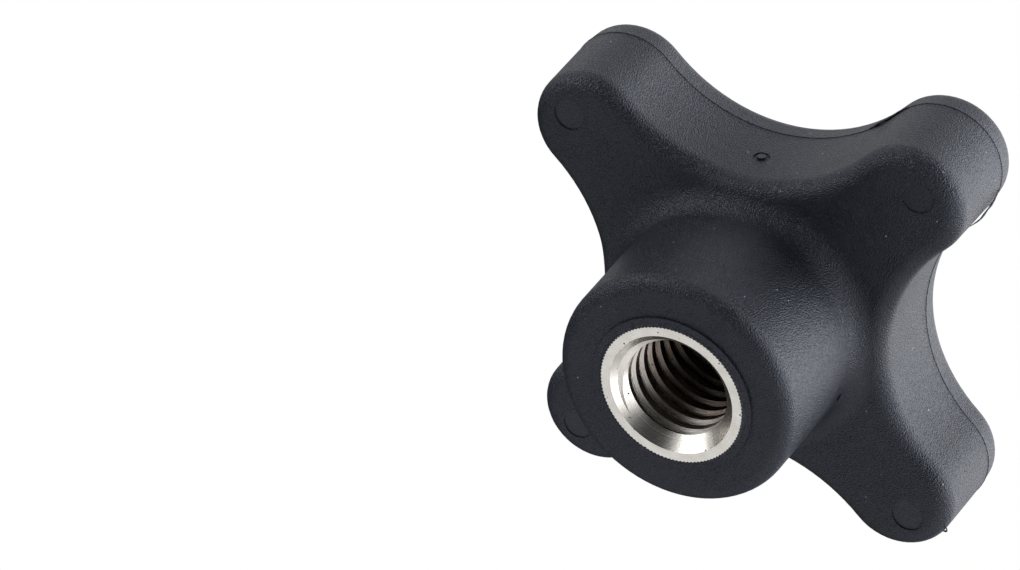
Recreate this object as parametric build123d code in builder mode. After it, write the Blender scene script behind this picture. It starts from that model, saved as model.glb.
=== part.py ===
from build123d import *

import os
from math import atan2, cos, degrees, radians, sin, tan

# Four-arm knob nut: a moulded plastic head and hub over a blind threaded metal insert.
# Millimetres. The origin is the centre of the insert's mouth, the lowest face, which stands a
# little proud of the hub. +Z runs up through the hub to the head.

# Head
HEAD_R = 30.0           # centre to the end of an arm, at the parting line
TIP_R = 6.2             # radius of an arm's rounded end
WAIST_R = 15.75         # centre to the middle of the hollow between two arms
ARMS = 4
HEAD_TOP = 28.0
HEAD_UNDER = 15.2
PARTING_Z = 24.9
UPPER_DRAFT = 2.8       # degrees, from the parting line up
LOWER_DRAFT = 2.2       # degrees, from the parting line down
TOP_ROUND = 1.5
UNDER_ROUND = 1.9

# Witness line where the two mould halves met
LINE_PROUD = 0.04
LINE_TALL = 0.1

# Hub
HUB_FACE = 0.3
HUB_R = 12.4            # at its face
HUB_DRAFT = 0.9         # degrees
HUB_RIM_ROUND = 1.5
HUB_ROOT_ROUND = 2.6
BOSS_R = 8.4            # low ring of plastic around the insert's mouth
BOSS_FACE = 0.12

# Marks left by the mould
PIN_MARK_AT = 26.0      # ejector pins, one under each arm
PIN_MARK_R = 1.65
PIN_MARK_DEEP = 0.12
GATE_Z = 20.2           # gate vestige, in one hollow between two arms
GATE_R = 0.45
GATE_PROUD = 0.12
GATE_RING_R = 0.85
GATE_RING_DEEP = 0.1
GATE_ANGLE = -135.0
NICKS = ((-22.0, 13.6), (-106.0, 14.0))     # angle and height of two pin marks at the hub's root
NICK_R = 0.6
NICK_DEEP = 0.1

# Insert
INSERT_R = 7.5
INSERT_END = 22.6       # its closed end
KNURL_TEETH = 120
KNURL_DEEP = 0.1
NECK_R = 6.9            # groove that the plastic locks into
NECK_FROM = 10.0
NECK_TALL = 3.0
END_CHAMFER = 1.0

# Thread, M12 x 1.75
PITCH = 1.75
MAJOR_R = 6.0
MINOR_R = 5.2
MOUTH_R = 6.5           # outer radius of the 45 degree countersink
DRILL_DEEP = 17.5       # full-diameter depth of the drilled hole
THREAD_DEEP = 15.4      # where the thread runs out
DRILL_POINT = 118.0     # degrees, the drill's included angle
ROOT_FLAT = 0.08
FLANK = 30.0            # degrees, half the thread's angle
OVERRUN = 0.05          # how far a cutter starts inside the surface it cuts

WAIST_ANGLE = 180 / ARMS    # from an arm to the middle of the hollow beside it
SLACK = 0.01                # edges this close to a height lie at it


def hollow_circle():
    """Radius and centre distance of the arc that joins two arm ends tangentially."""
    tip_at = HEAD_R - TIP_R
    across = 2 * tip_at * cos(radians(WAIST_ANGLE))
    radius = (tip_at**2 - across * WAIST_R + WAIST_R**2 - TIP_R**2) / (
        across - 2 * WAIST_R + 2 * TIP_R
    )
    return radius, WAIST_R + radius


def head_outline(grow=0.0):
    """The head seen along Z: rounded arm ends joined by hollows, grown outward by a distance."""
    hollow_r, hollow_at = hollow_circle()
    tip_at = HEAD_R - TIP_R
    middle = radians(WAIST_ANGLE)
    rise = hollow_at * sin(middle)
    run = hollow_at * cos(middle) - tip_at
    lean = degrees(atan2(rise, run))
    half_hollow = lean - WAIST_ANGLE
    with BuildSketch() as outline:
        with BuildLine():
            for arm in range(ARMS):
                turn = 360 * arm / ARMS
                tip = (tip_at * cos(radians(turn)), tip_at * sin(radians(turn)))
                CenterArc(tip, TIP_R + grow, turn - lean, 2 * lean)
                bisector = turn + WAIST_ANGLE
                hollow = (
                    hollow_at * cos(radians(bisector)),
                    hollow_at * sin(radians(bisector)),
                )
                CenterArc(hollow, hollow_r - grow, bisector + 180 - half_hollow, 2 * half_hollow)
        make_face()
    return outline.sketch


def hub_radius(z):
    """The drafted hub's radius at a height."""
    return HUB_R + (z - HUB_FACE) * tan(radians(HUB_DRAFT))


def hollow_radius(z):
    """Distance from the axis to the middle of a hollow's wall, at a height below the parting line."""
    return WAIST_R - (PARTING_Z - z) * tan(radians(LOWER_DRAFT))


def is_about_axis(edge):
    """Whether a round edge is centred on the Z axis."""
    return abs(edge.arc_center.X) < SLACK and abs(edge.arc_center.Y) < SLACK


def underside_edges(part):
    """The edges that lie flat in the plane of the head's underside, split into hub root and head rim."""
    flat = part.edges().filter_by_position(Axis.Z, HEAD_UNDER - SLACK, HEAD_UNDER + SLACK)
    hub = flat.filter_by(lambda edge: is_about_axis(edge))
    rim = flat.filter_by(lambda edge: not is_about_axis(edge))
    return hub, rim


def make_shell():
    """Head and hub: drafted walls, rounded rims, a blended hub root and the parting witness line."""
    with BuildPart() as shell:
        with BuildSketch(Plane.XY.offset(PARTING_Z)):
            add(head_outline())
        extrude(amount=PARTING_Z - HEAD_UNDER, dir=(0, 0, -1), taper=LOWER_DRAFT)
        with BuildSketch(Plane.XY.offset(HUB_FACE)):
            Circle(HUB_R)
        extrude(amount=HEAD_UNDER + UNDER_ROUND - HUB_FACE, taper=-HUB_DRAFT)
        hub, rim = underside_edges(shell)
        fillet(hub, HUB_ROOT_ROUND)
        hub, rim = underside_edges(shell)
        fillet(rim, UNDER_ROUND)
        fillet(shell.edges().group_by(Axis.Z)[0], HUB_RIM_ROUND)
    with BuildPart() as crown:
        with BuildSketch(Plane.XY.offset(PARTING_Z)):
            add(head_outline())
        extrude(amount=HEAD_TOP - PARTING_Z, taper=UPPER_DRAFT)
        fillet(crown.edges().group_by(Axis.Z)[-1], TOP_ROUND)
    with BuildPart() as whole:
        add(shell.part)
        add(crown.part)
        with BuildSketch(Plane.XY.offset(PARTING_Z - LINE_TALL / 2)):
            add(head_outline(LINE_PROUD))
        extrude(amount=LINE_TALL)
    return whole.part


def make_blank():
    """The insert's outside: a knurled plug with a locking groove and a chamfered closed end."""
    with BuildSketch() as toothed:
        step = 360 / KNURL_TEETH
        rim = []
        for tooth in range(KNURL_TEETH):
            rim.append(Vector(INSERT_R, 0).rotate(Axis.Z, tooth * step))
            rim.append(Vector(INSERT_R - KNURL_DEEP, 0).rotate(Axis.Z, (tooth + 0.5) * step))
        with BuildLine():
            Polyline(rim, close=True)
        make_face()
    with BuildPart() as blank:
        with BuildSketch():
            add(toothed.sketch)
        extrude(amount=INSERT_END)
        with BuildSketch(Plane.XZ):
            with BuildLine():
                Polyline(
                    (0, 0),
                    (INSERT_R, 0),
                    (INSERT_R, NECK_FROM),
                    (NECK_R, NECK_FROM),
                    (NECK_R, NECK_FROM + NECK_TALL),
                    (INSERT_R, NECK_FROM + NECK_TALL),
                    (INSERT_R, INSERT_END - END_CHAMFER),
                    (INSERT_R - END_CHAMFER, INSERT_END),
                    (0, INSERT_END),
                    close=True,
                )
            make_face()
        revolve(axis=Axis.Z, mode=Mode.INTERSECT)
    return blank.part


def make_thread_cutter():
    """The helical groove of the thread, from just outside the mouth to the run-out."""
    depth = MAJOR_R - MINOR_R + OVERRUN
    half_root = ROOT_FLAT / 2
    half_open = half_root + depth * tan(radians(FLANK))
    start = -PITCH
    with BuildPart() as cutter:
        with BuildLine() as path:
            Helix(pitch=PITCH, height=THREAD_DEEP - start, radius=MINOR_R, center=(0, 0, start))
        profile = Plane(origin=(0, 0, start), x_dir=(1, 0, 0), z_dir=(0, -1, 0))
        with BuildSketch(profile):
            with BuildLine():
                Polyline(
                    (MAJOR_R - depth, -half_open),
                    (MAJOR_R, -half_root),
                    (MAJOR_R, half_root),
                    (MAJOR_R - depth, half_open),
                    close=True,
                )
            make_face()
        sweep(path=path.line, is_frenet=True)
    return cutter.part


def make_insert(blank):
    """The threaded bush: the blank with its countersunk, drilled and tapped blind hole."""
    point = MINOR_R / tan(radians(DRILL_POINT / 2))
    with BuildPart() as threaded_insert:
        add(blank)
        with BuildSketch(Plane.XZ):
            with BuildLine():
                Polyline(
                    (0, 0),
                    (MOUTH_R, 0),
                    (MINOR_R, MOUTH_R - MINOR_R),
                    (MINOR_R, DRILL_DEEP),
                    (0, DRILL_DEEP + point),
                    close=True,
                )
            make_face()
        revolve(axis=Axis.Z, mode=Mode.SUBTRACT)
        add(make_thread_cutter(), mode=Mode.SUBTRACT)
    return threaded_insert.part


def wall_plane(radius, angle, z):
    """A plane on a wall at that radius, angle and height, facing inward."""
    out = Vector(cos(radians(angle)), sin(radians(angle)), 0)
    return Plane(origin=out * radius + Vector(0, 0, z), z_dir=-out)


def make_body(blank):
    """The moulding: shell, the marks the mould left on it, and the pocket that grips the insert."""
    with BuildPart() as knob_body:
        add(make_shell())
        with BuildSketch(Plane.XY.offset(BOSS_FACE)):
            Circle(BOSS_R)
        extrude(amount=HUB_FACE - BOSS_FACE)
        with BuildSketch(Plane.XY.offset(HEAD_UNDER)):
            with PolarLocations(PIN_MARK_AT, ARMS):
                Circle(PIN_MARK_R)
        extrude(amount=PIN_MARK_DEEP, mode=Mode.SUBTRACT)
        gate = wall_plane(hollow_radius(GATE_Z), GATE_ANGLE, GATE_Z)
        with BuildSketch(gate):
            Circle(GATE_RING_R)
        extrude(amount=GATE_RING_DEEP, both=True, mode=Mode.SUBTRACT)
        with BuildSketch(gate.offset(-GATE_PROUD)):
            Circle(GATE_R)
        extrude(amount=GATE_PROUD + 2 * GATE_RING_DEEP)
        for angle, z in NICKS:
            with BuildSketch(wall_plane(hub_radius(z), angle, z)):
                Circle(NICK_R)
            extrude(amount=NICK_DEEP, both=True, mode=Mode.SUBTRACT)
        add(blank, mode=Mode.SUBTRACT)
    return knob_body.part


os.makedirs("parts", exist_ok=True)

blank = make_blank()
knob_body = make_body(blank)
knob_body.label = "knob_body"
export_step(knob_body, "parts/knob_body.step")
threaded_insert = make_insert(blank)
threaded_insert.label = "threaded_insert"
export_step(threaded_insert, "parts/threaded_insert.step")
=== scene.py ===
from math import cos, pi, radians, sin

import bmesh
import bpy
from mathutils import Matrix, Vector, noise


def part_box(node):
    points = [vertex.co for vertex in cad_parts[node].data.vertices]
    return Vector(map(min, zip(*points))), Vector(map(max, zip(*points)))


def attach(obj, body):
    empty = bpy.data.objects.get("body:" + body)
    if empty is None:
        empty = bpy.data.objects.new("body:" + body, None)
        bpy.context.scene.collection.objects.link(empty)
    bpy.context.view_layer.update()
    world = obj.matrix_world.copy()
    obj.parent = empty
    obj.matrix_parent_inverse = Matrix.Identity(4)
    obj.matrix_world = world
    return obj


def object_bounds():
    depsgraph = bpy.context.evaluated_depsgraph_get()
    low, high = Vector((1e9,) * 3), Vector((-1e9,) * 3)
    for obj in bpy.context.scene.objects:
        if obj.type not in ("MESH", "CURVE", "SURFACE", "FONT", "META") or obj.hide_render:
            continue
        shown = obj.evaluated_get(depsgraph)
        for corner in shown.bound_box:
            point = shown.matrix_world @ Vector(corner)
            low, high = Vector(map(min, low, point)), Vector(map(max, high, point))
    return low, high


MM = 0.001

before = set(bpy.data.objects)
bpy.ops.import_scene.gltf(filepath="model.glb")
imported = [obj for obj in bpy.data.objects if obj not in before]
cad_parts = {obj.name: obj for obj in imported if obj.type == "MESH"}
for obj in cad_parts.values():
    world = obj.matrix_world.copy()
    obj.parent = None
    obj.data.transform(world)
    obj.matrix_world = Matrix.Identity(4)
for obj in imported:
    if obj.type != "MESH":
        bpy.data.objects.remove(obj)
cad_lo, cad_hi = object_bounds()
scene = bpy.context.scene
scene.view_settings.view_transform = "Standard"
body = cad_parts["knob_body"]
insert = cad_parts["threaded_insert"]
insert_lo, insert_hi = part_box("threaded_insert")
INSERT_R = (insert_hi[0] - insert_lo[0]) / 2
HEAD_R = (cad_hi[0] - cad_lo[0]) / 2
PARTING_Z = cad_hi[2] - 3.1 * MM    # the witness line, below the head's top

# --- camera: looks up at the hub's face, rolled as the knob lies ----------------
CAMERA_AZIMUTH = 7.03       # degrees from +Y towards +X
CAMERA_RISE = 47.13         # degrees that the view climbs
CAMERA_ROLL = 44.52         # degrees about the line of sight
CAMERA_DISTANCE = 348.8 * MM
CAMERA_AIM = Vector((-17.0, 11.5, 5.3)) * MM
CAMERA_LENS = 125.45        # mm, on a sensor this wide:
CAMERA_SENSOR = 36.0
CLIP_NEAR, CLIP_FAR = 0.01, 10.0

ahead = Vector(
    (
        sin(radians(CAMERA_AZIMUTH)) * cos(radians(CAMERA_RISE)),
        cos(radians(CAMERA_AZIMUTH)) * cos(radians(CAMERA_RISE)),
        sin(radians(CAMERA_RISE)),
    )
)
level = ahead.cross(Vector((0, 0, 1))).normalized()
rolled = Matrix.Rotation(-radians(CAMERA_ROLL), 3, ahead)
right = rolled @ level
up = right.cross(ahead)

camera = bpy.data.objects.new("camera", bpy.data.cameras.new("camera"))
scene.collection.objects.link(camera)
scene.camera = camera
camera.data.sensor_width = CAMERA_SENSOR
camera.data.lens = CAMERA_LENS
camera.data.clip_start, camera.data.clip_end = CLIP_NEAR, CLIP_FAR
turn = Matrix((right, up, -ahead)).transposed()
camera.matrix_world = Matrix.Translation(CAMERA_AIM - ahead * CAMERA_DISTANCE) @ turn.to_4x4()


# --- node helpers ---------------------------------------------------------------
class Graph:
    """The node tree of a material or a world, with short calls for adding and linking nodes."""

    def __init__(self, owner, output):
        owner.use_nodes = True
        self.owner = owner
        self.tree = owner.node_tree
        self.tree.nodes.clear()
        self.out = self.add(output)

    def add(self, kind, inputs=None, **settings):
        node = self.tree.nodes.new(kind)
        for key, value in settings.items():
            setattr(node, key, value)
        for key, value in (inputs or {}).items():
            self.put(node.inputs[key], value)
        return node

    def put(self, socket, value):
        if isinstance(value, bpy.types.NodeSocket):
            self.tree.links.new(value, socket)
        else:
            socket.default_value = value

    def maths(self, operation, a, b=0.0):
        return self.add("ShaderNodeMath", {0: a, 1: b}, operation=operation).outputs[0]

    def weighed(self, *pairs):
        """The sum of some values, each times its weight."""
        total = self.maths("MULTIPLY", *pairs[0])
        for pair in pairs[1:]:
            total = self.maths("ADD", total, self.maths("MULTIPLY", *pair))
        return total

    def diagonal(self, a, b):
        """The length of the diagonal across two sides."""
        return self.maths("SQRT", self.weighed((a, a), (b, b)))

    def remap(self, value, span, result=(0.0, 1.0)):
        """A value stretched from one range to another, and held at its ends."""
        inputs = {
            "Value": value,
            "From Min": span[0],
            "From Max": span[1],
            "To Min": result[0],
            "To Max": result[1],
        }
        return self.add("ShaderNodeMapRange", inputs, clamp=True).outputs["Result"]

    def noise(self, where, size_mm, detail, rough):
        inputs = {"Vector": where, "Scale": 1.0 / (size_mm * MM), "Detail": detail, "Roughness": rough}
        return self.add("ShaderNodeTexNoise", inputs).outputs["Fac"]

    def cells(self, where, size_mm):
        inputs = {"Vector": where, "Scale": 1.0 / (size_mm * MM)}
        return self.add("ShaderNodeTexVoronoi", inputs).outputs

    def flecks(self, where, size_mm, core, edge, rarity):
        """Small round spots in a few of the cells of a Voronoi pattern."""
        cell = self.cells(where, size_mm)
        spot = self.remap(cell["Distance"], (core, edge), (1.0, 0.0))
        chance = self.add("ShaderNodeSeparateColor", {"Color": cell["Color"]}).outputs[0]
        return self.maths("MULTIPLY", spot, self.maths("GREATER_THAN", chance, rarity))

    def blend(self, factor, a, b):
        """Two colours mixed. A Mix node's colours are its sockets 6 and 7, and its result is 2."""
        inputs = {"Factor": factor, 6: a, 7: b}
        return self.add("ShaderNodeMix", inputs, data_type="RGBA").outputs[2]

    def choose(self, factor, a, b):
        """A shader that is a where the factor is 0, and b where it is 1."""
        return self.add("ShaderNodeMixShader", {"Fac": factor, 1: a.outputs[0], 2: b.outputs[0]})

    def finish(self, shader):
        self.put(self.out.inputs["Surface"], shader.outputs[0])
        return self.owner


def new_material(name):
    return Graph(bpy.data.materials.new(name), "ShaderNodeOutputMaterial")


# --- materials ------------------------------------------------------------------
# A noise is its size in mm, its detail and its roughness. Flecks are the size of their cells in
# mm, the radii in cells where a spot starts and stops fading, and the share of cells left bare.
NOISE_SPAN = (0.3, 0.7)     # where most of a noise's values lie

GRAIN_SIZE = 0.15           # mm
GRAIN_DEPTH = 0.10          # mm
GRAIN = (GRAIN_SIZE, 1.0, 0.5)
GRAIN_SPAN = (0.35, 0.65)
GRAIN_PITS = 0.5            # height of the pits between grains beside the grain's own
FLOW = (9.0, 3.0, 0.55)
CLOUD = (1.8, 3.0, 0.6)
FLOW_SHARE, CLOUD_SHARE, GRAIN_SHARE = 0.45, 0.25, 0.30     # of each noise in the colour
TONE_SPAN = (0.38, 0.62)
PLASTIC_DEEP = (0.007, 0.008, 0.012, 1.0)
PLASTIC_PALE = (0.018, 0.020, 0.030, 1.0)
PLASTIC_ROUGH = (0.31, 0.38)
GRAIN_ROUGH = (-0.05, 0.05)
PLASTIC_IOR = 1.53
PLASTIC_SHEEN = (0.84, 0.88, 1.0, 1.0)
SPECKS = (1.5, 0.035, 0.07, 0.66)
SPECK_COLOUR = (0.32, 0.32, 0.33, 1.0)

PIN_AT = 26.0 * MM          # ejector pins, from the axis, under each arm
PIN_R = 1.6 * MM
PIN_EDGE = 0.12 * MM
PIN_SMOOTHING = 0.45        # share of the grain that a pin's disc loses
UNDERSIDE_TOP = 17.0 * MM   # above the head's underside, below the middle of its wall

TOOL_RINGS = (0.12, 2.0, 0.6)
STEEL_CLOUD = (1.4, 3.0, 0.6)
SCRATCHES = (0.22, 2.0, 0.6)
SCRATCH_SHARE = 0.8
STEEL_DULL = (0.74, 0.70, 0.64, 1.0)
STEEL_BRIGHT = (0.88, 0.85, 0.79, 1.0)
STEEL_ROUGH = (0.20, 0.34)
STEEL_BUMP = 0.5
STEEL_DEPTH = 0.02          # mm
# brown, then near-black, deeper in the bore: partly stain and oil, partly painted shade of the bore's depth
DEPTH_TINT_WANDER = (-0.9 * MM, 0.9 * MM)
STAIN_AND_SHADE_SPAN = (2.4 * MM, 6.5 * MM)
STAIN_AND_SHADE_COLOUR = (0.46, 0.38, 0.33, 1.0)
OIL_AND_SHADE_SPAN = (5.0 * MM, 10.0 * MM)
OIL_AND_SHADE_COLOUR = (0.14, 0.11, 0.09, 1.0)
BIG_PITS = (1.1, 0.05, 0.11, 0.62)
SMALL_PITS = (0.45, 0.06, 0.16, 0.86)
PIT_COLOUR = (0.05, 0.04, 0.035, 1.0)
PIT_ROUGH = 0.4


def ejector_discs(graph, where):
    """1 inside the four smooth discs that the ejector pins left, 0 elsewhere."""
    split = graph.add("ShaderNodeSeparateXYZ", {"Vector": where})
    x = graph.maths("ABSOLUTE", split.outputs["X"])
    y = graph.maths("ABSOLUTE", split.outputs["Y"])
    along = graph.maths("SUBTRACT", graph.maths("MAXIMUM", x, y), PIN_AT)
    across = graph.maths("MINIMUM", x, y)
    away = graph.diagonal(along, across)
    inside = graph.remap(away, (PIN_R - PIN_EDGE, PIN_R + PIN_EDGE), (1.0, 0.0))
    return graph.maths("MULTIPLY", inside, graph.maths("LESS_THAN", split.outputs["Z"], UNDERSIDE_TOP))


def plastic():
    """Black glass-filled nylon: spark-eroded grain, faint flow clouding and a few pale specks."""
    graph = new_material("black_glass_filled_nylon")
    where = graph.add("ShaderNodeTexCoord").outputs["Object"]
    flow = graph.noise(where, *FLOW)
    cloud = graph.noise(where, *CLOUD)
    grain = graph.noise(where, *GRAIN)
    pits = graph.cells(where, GRAIN_SIZE)["Distance"]
    tone = graph.weighed((flow, FLOW_SHARE), (cloud, CLOUD_SHARE), (grain, GRAIN_SHARE))
    colour = graph.blend(graph.remap(tone, TONE_SPAN), PLASTIC_DEEP, PLASTIC_PALE)
    colour = graph.blend(graph.flecks(where, *SPECKS), colour, SPECK_COLOUR)
    cloud_rough = graph.remap(cloud, NOISE_SPAN, PLASTIC_ROUGH)
    rough = graph.maths("ADD", cloud_rough, graph.remap(grain, GRAIN_SPAN, GRAIN_ROUGH))
    smooth = graph.maths("MULTIPLY", ejector_discs(graph, where), PIN_SMOOTHING)
    height = graph.maths("ADD", grain, graph.maths("MULTIPLY", pits, GRAIN_PITS))
    height = graph.maths("MULTIPLY", height, graph.maths("SUBTRACT", 1.0, smooth))
    bump = graph.add("ShaderNodeBump", {"Strength": 1.0, "Distance": GRAIN_DEPTH * MM, "Height": height})
    inputs = {
        "Base Color": colour,
        "Roughness": rough,
        "Normal": bump.outputs["Normal"],
        "IOR": PLASTIC_IOR,
        "Specular Tint": PLASTIC_SHEEN,
    }
    return graph.finish(graph.add("ShaderNodeBsdfPrincipled", inputs))


def metal():
    """Turned and tapped steel: tool rings and pits on the mouth, and a bore tinted brown, then near-black,
    with depth: partly oil, partly painted shade.
    """
    graph = new_material("turned_steel")
    where = graph.add("ShaderNodeTexCoord").outputs["Object"]
    split = graph.add("ShaderNodeSeparateXYZ", {"Vector": where})
    x, y, z = split.outputs
    profile = graph.add("ShaderNodeCombineXYZ", {"X": graph.diagonal(x, y), "Y": z, "Z": 0.0}).outputs[0]
    rings = graph.noise(profile, *TOOL_RINGS)
    cloud = graph.noise(where, *STEEL_CLOUD)
    scratches = graph.noise(where, *SCRATCHES)
    pits = graph.maths("MAXIMUM", graph.flecks(where, *BIG_PITS), graph.flecks(where, *SMALL_PITS))
    colour = graph.blend(graph.remap(cloud, NOISE_SPAN), STEEL_DULL, STEEL_BRIGHT)
    # the bore darkens the deeper it goes: partly stain and oil, partly painted shade
    inside = graph.maths("ADD", z, graph.remap(cloud, NOISE_SPAN, DEPTH_TINT_WANDER))
    colour = graph.blend(graph.remap(inside, STAIN_AND_SHADE_SPAN), colour, STAIN_AND_SHADE_COLOUR)
    colour = graph.blend(graph.remap(inside, OIL_AND_SHADE_SPAN), colour, OIL_AND_SHADE_COLOUR)
    colour = graph.blend(pits, colour, PIT_COLOUR)
    ring_rough = graph.remap(rings, NOISE_SPAN, STEEL_ROUGH)
    rough = graph.maths("ADD", ring_rough, graph.maths("MULTIPLY", pits, PIT_ROUGH))
    height = graph.maths("ADD", rings, graph.maths("MULTIPLY", scratches, SCRATCH_SHARE))
    bump_inputs = {"Strength": STEEL_BUMP, "Distance": STEEL_DEPTH * MM, "Height": height}
    bump = graph.add("ShaderNodeBump", bump_inputs)
    inputs = {
        "Base Color": colour,
        "Roughness": rough,
        "Metallic": 1.0,
        "Normal": bump.outputs["Normal"],
    }
    return graph.finish(graph.add("ShaderNodeBsdfPrincipled", inputs))


def dress(obj, material):
    """Give every slot of an object one material."""
    if len(obj.material_slots) == 0:
        obj.data.materials.append(material)
    for material_slot in obj.material_slots:
        material_slot.material = material


black = plastic()
dress(body, black)
dress(insert, metal())

# --- flash: thin plastic that squeezed out where the mould closed ---------------
STEPS = 28                  # along each strand
SIDES = 8                   # around it
ROOT_SINK = 0.04 * MM       # how far a strand's ends sit in the wall
THIN_END = 0.12             # least bow that a strand's thickness is worked out from
TAPER_POWER = 0.6
LIFT_WAVES, LIFT_SWING = 4.0, 0.5       # noise along a strand: how fast it varies, how strongly
WIDTH_WAVES, WIDTH_SWING = 9.0, 0.35
LIFT_ROW, WIDTH_ROW = 0.5, 1.5          # which row of the noise each of them reads
GLANCE = 0.01               # share of a strand to look ahead for its direction


def add_mesh(name, points, faces):
    """A closed, smooth-shaded piece of the moulding that rides with the part."""
    mesh = bpy.data.meshes.new(name)
    mesh.from_pydata([tuple(point) for point in points], [], faces)
    shape = bmesh.new()
    shape.from_mesh(mesh)
    bmesh.ops.recalc_face_normals(shape, faces=shape.faces)
    shape.to_mesh(mesh)
    shape.free()
    mesh.polygons.foreach_set("use_smooth", [True] * len(mesh.polygons))
    mesh.materials.append(black)
    piece = bpy.data.objects.new(name, mesh)
    scene.collection.objects.link(piece)
    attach(piece, "root")


def skin(rings, sides, closed):
    """Faces between neighbouring rings of points. The end rings are joined if closed, else capped."""
    faces = []
    for ring in range(rings if closed else rings - 1):
        here = ring * sides
        there = (ring + 1) % rings * sides
        for corner in range(sides):
            beside = (corner + 1) % sides
            faces.append((here + corner, here + beside, there + beside, there + corner))
    if not closed:
        last = (rings - 1) * sides
        faces.append(tuple(range(sides)))
        faces.append(tuple(last + corner for corner in reversed(range(sides))))
    return faces


def wall_at(angle, height):
    """Where the head's wall stands at an angle and a height, and which way it faces."""
    out = Vector((cos(radians(angle)), sin(radians(angle)), 0.0))
    start = out * HEAD_R * 2 + Vector((0.0, 0.0, height))
    hit, point, normal, _ = body.ray_cast(start, -out)
    if not hit:
        raise ValueError("no wall at angle %s and height %s" % (angle, height))
    return point, normal


def strand(name, angles, heights, lift, wide, thick, seed):
    """A tapered sliver along the wall: both ends in the plastic, the middle lifted off it."""
    sweep = angles[1] - angles[0]
    climb = heights[1] - heights[0]
    points = []
    for step in range(STEPS + 1):
        t = step / STEPS
        angle = angles[0] + sweep * t
        height = heights[0] + climb * t
        foot, normal = wall_at(angle, height)
        onward, _ = wall_at(angle + sweep * GLANCE, height + climb * GLANCE)
        side = (onward - foot).normalized().cross(normal).normalized()
        bow = sin(pi * t)
        wobble = noise.noise(Vector((seed, t * LIFT_WAVES, LIFT_ROW)))
        centre = foot + normal * (lift * bow * (1.0 + LIFT_SWING * wobble) - ROOT_SINK)
        ragged = noise.noise(Vector((t * WIDTH_WAVES, seed, WIDTH_ROW)))
        taper = max(bow, THIN_END) ** TAPER_POWER * (1.0 + WIDTH_SWING * ragged)
        for corner in range(SIDES):
            around = 2 * pi * corner / SIDES
            sideways = side * (cos(around) * wide * taper / 2)
            outward = normal * (sin(around) * thick * taper / 2)
            points.append(centre + sideways + outward)
    add_mesh(name, points, skin(STEPS + 1, SIDES, closed=False))


# angles in degrees about the axis, heights, then how far it lifts, how wide and how thick it is,
# and what picks its noise
strand("flash_curl", (-79.0, -76.5), (PARTING_Z, 20.0 * MM), 0.42 * MM, 0.36 * MM, 0.20 * MM, 3.0)
strand("flash_hair", (-5.0, 1.0), (15.9 * MM, 18.3 * MM), 0.24 * MM, 0.20 * MM, 0.14 * MM, 7.0)
strand("flash_nib", (171.5, 176.0), (PARTING_Z, PARTING_Z + 0.2 * MM), 0.10 * MM, 0.30 * MM, 0.14 * MM, 11.0)
strand("flash_lip", (-109.0, -103.5), (PARTING_Z, PARTING_Z), 0.16 * MM, 0.26 * MM, 0.20 * MM, 17.0)

BURR_STEPS = 360
BURR_FOOT = 0.16 * MM       # height of its foot, inside the plastic ring around the mouth
BURR_FLOOR = 0.02 * MM      # height that its depth is measured up from
BURR_LAP = 0.06 * MM        # how far it reaches inside the insert's rim
# in mm: the mean, then how much the ragged and the fine noise add to it
BURR_REACH = (0.34, 0.16, 0.10)
BURR_CREST = (0.10, 0.0, 0.05)
BURR_TOP = (0.05, 0.05, 0.03)
RAGGED_WAVES, RAGGED_START = 9.0, Vector((2.0, 5.0, 1.0))
FINE_WAVES, FINE_START = 46.0, Vector((1.0, 3.0, 8.0))


def uneven(amounts, ragged, fine):
    mean, ragged_share, fine_share = amounts
    return (mean + ragged_share * ragged + fine_share * fine) * MM


def mouth_burr():
    """The torn edge of plastic that creeps against the metal around its mouth."""
    points = []
    for step in range(BURR_STEPS):
        angle = 2 * pi * step / BURR_STEPS
        way = Vector((cos(angle), sin(angle), 0.0))
        ragged = noise.noise(way * RAGGED_WAVES + RAGGED_START)
        fine = noise.noise(way * FINE_WAVES + FINE_START)
        inner = INSERT_R - BURR_LAP
        crest = INSERT_R + uneven(BURR_CREST, ragged, fine)
        outer = INSERT_R + uneven(BURR_REACH, ragged, fine)
        top = BURR_FLOOR + uneven(BURR_TOP, ragged, fine)
        section = ((inner, BURR_FOOT), (inner, top), (crest, top), (outer, BURR_FOOT))
        for reach, height in section:
            points.append(way * reach + Vector((0.0, 0.0, height)))
    add_mesh("mouth_burr", points, skin(BURR_STEPS, len(section), closed=True))


mouth_burr()

# --- floor: pale from above, clear from below -----------------------------------
FLOOR_HALF = 3.0            # half its side
FLOOR_DROP = 0.25 * MM      # below the part's lowest face
FLOOR_COLOUR = (0.86, 0.86, 0.86, 1.0)
FLOOR_ROUGH = 0.7


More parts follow.
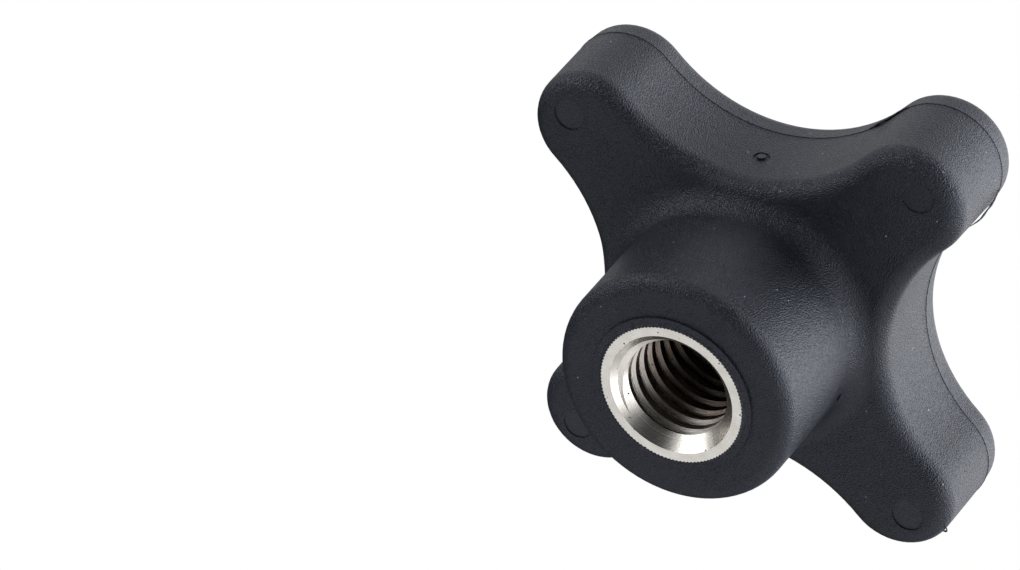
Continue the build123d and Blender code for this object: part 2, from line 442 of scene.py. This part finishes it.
def make_floor():
    """A large sheet that only the camera sees: it lights nothing and blocks no light from below."""
    mesh = bpy.data.meshes.new("floor")
    signs = ((-1, -1), (1, -1), (1, 1), (-1, 1))
    corners = [(x * FLOOR_HALF, y * FLOOR_HALF, -FLOOR_DROP) for x, y in signs]
    mesh.from_pydata(corners, [], [(0, 1, 2, 3)])
    floor = bpy.data.objects.new("floor", mesh)
    scene.collection.objects.link(floor)
    graph = new_material("pale_floor")
    inputs = {"Base Color": FLOOR_COLOUR, "Roughness": FLOOR_ROUGH}
    paint = graph.add("ShaderNodeBsdfPrincipled", inputs)
    clear = graph.add("ShaderNodeBsdfTransparent")
    from_below = graph.add("ShaderNodeNewGeometry").outputs["Backfacing"]
    mesh.materials.append(graph.finish(graph.choose(from_below, paint, clear)))
    floor.visible_diffuse = False
    floor.visible_glossy = False
    floor.visible_shadow = False


make_floor()

# --- light: soft glows fixed in space, each a wide lobe around one direction ----
AMBIENT = 0.03
LIGHT_COLOUR = (0.97, 0.98, 1.0, 1.0)
BACKGROUND = (1.0, 1.0, 1.0, 1.0)
GLOWS = (
    # how far right, up and ahead of the main camera it lies, then sharpness and strength
    (1.0, 0.0, 0.0, 8.0, 5.2),      # key
    (1.0, 1.0, 0.0, 8.0, 2.0),
    (1.0, 0.0, 1.0, 8.0, 1.7),
    (1.0, -1.0, -1.0, 8.0, 2.2),
    (0.0, 1.0, 1.0, 8.0, 0.95),     # backdrop, which edges the far rims
    (-1.0, -1.0, 0.0, 8.0, 0.8),    # the pale ground that the metal face mirrors
    (0.0, -1.0, 0.0, 8.0, 0.8),
    (-1.0, 0.5, -0.3, 20.0, 3.4),   # the two that draw bright bands along the fillets
    (-1.0, 1.0, 0.0, 20.0, 2.8),
)


def make_world():
    """Light from the glows, with plain white where the camera sees past the part."""
    graph = Graph(bpy.data.worlds.new("studio"), "ShaderNodeOutputWorld")
    way = graph.add("ShaderNodeTexCoord").outputs["Generated"]
    total = AMBIENT
    for along_right, along_up, along_ahead, sharpness, strength in GLOWS:
        toward = (right * along_right + up * along_up + ahead * along_ahead).normalized()
        dot = graph.add("ShaderNodeVectorMath", {0: way, 1: toward}, operation="DOT_PRODUCT")
        facing = graph.maths("MAXIMUM", dot.outputs["Value"], 0.0)
        lobe = graph.maths("MULTIPLY", graph.maths("POWER", facing, sharpness), strength)
        total = graph.maths("ADD", total, lobe)
    lit = graph.add("ShaderNodeBackground", {"Color": LIGHT_COLOUR, "Strength": total})
    seen = graph.add("ShaderNodeBackground", {"Color": BACKGROUND, "Strength": 1.0})
    to_camera = graph.add("ShaderNodeLightPath").outputs["Is Camera Ray"]
    scene.world = graph.finish(graph.choose(to_camera, lit, seen))


make_world()
